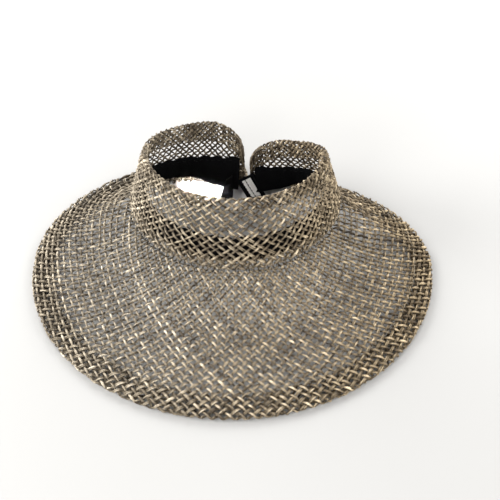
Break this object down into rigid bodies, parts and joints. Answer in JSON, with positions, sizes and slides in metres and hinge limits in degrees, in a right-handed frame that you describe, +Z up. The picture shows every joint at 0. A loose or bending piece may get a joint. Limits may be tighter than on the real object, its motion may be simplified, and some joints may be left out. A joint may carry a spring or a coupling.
{
  "type": "roll-up sun visor",
  "caption": "Wide-brim sun visor of open-weave seagrass with an open crown split at the back, a black inner sweatband and fabric closing tabs.",
  "frame": {"origin": "centre of the overall box, on the plane the brim edge rests on", "axes": "+Z up out of the crown, -Y towards the front of the brim, +X towards the wearer's left"},
  "size_m": [0.3724, 0.343, 0.0839],
  "materials": {
    "seagrass": "open plain weave of twisted dry seagrass cord, matt, uneven straw to brown",
    "black_fabric": "thick black woven cotton, matt",
    "hook_tape": "pale hook tape, matt nylon",
    "sewing_thread": "twisted straw-coloured polyester thread",
    "black_thread": "twisted black polyester thread"
  },
  "bodies": {
    "visor": {"crown": "seagrass", "brim": "seagrass", "crown_top_hem": "seagrass", "crown_end_hem_left": "seagrass", "crown_end_hem_right": "seagrass", "sweatband": "black_fabric", "crown_hem_thread": "sewing_thread", "brim_hem_thread": "sewing_thread", "foot_seam_thread": "sewing_thread", "sweatband_thread": "black_thread"},
    "right_tab": {"right_tab": "black_fabric", "hook_strip_1": "hook_tape", "hook_strip_2": "hook_tape", "right_tab_tack": "black_thread"},
    "left_tab": {"left_tab": "black_fabric", "loop_patch": "black_fabric", "left_tab_tack": "black_thread"}
  },
  "joints": [
    {"name": "right_tab_swing", "type": "hinge", "parent": "visor", "child": "right_tab", "pos_m": [0.023, 0.1143, 0.0178], "axis": [-0.436, 0.127, 0.891], "range_deg": [0, 60]},
    {"name": "left_tab_swing", "type": "hinge", "parent": "visor", "child": "left_tab", "pos_m": [-0.006, 0.1168, 0.0258], "axis": [-0.7191, -0.18, -0.6711], "range_deg": [0, 60]}
  ]
}
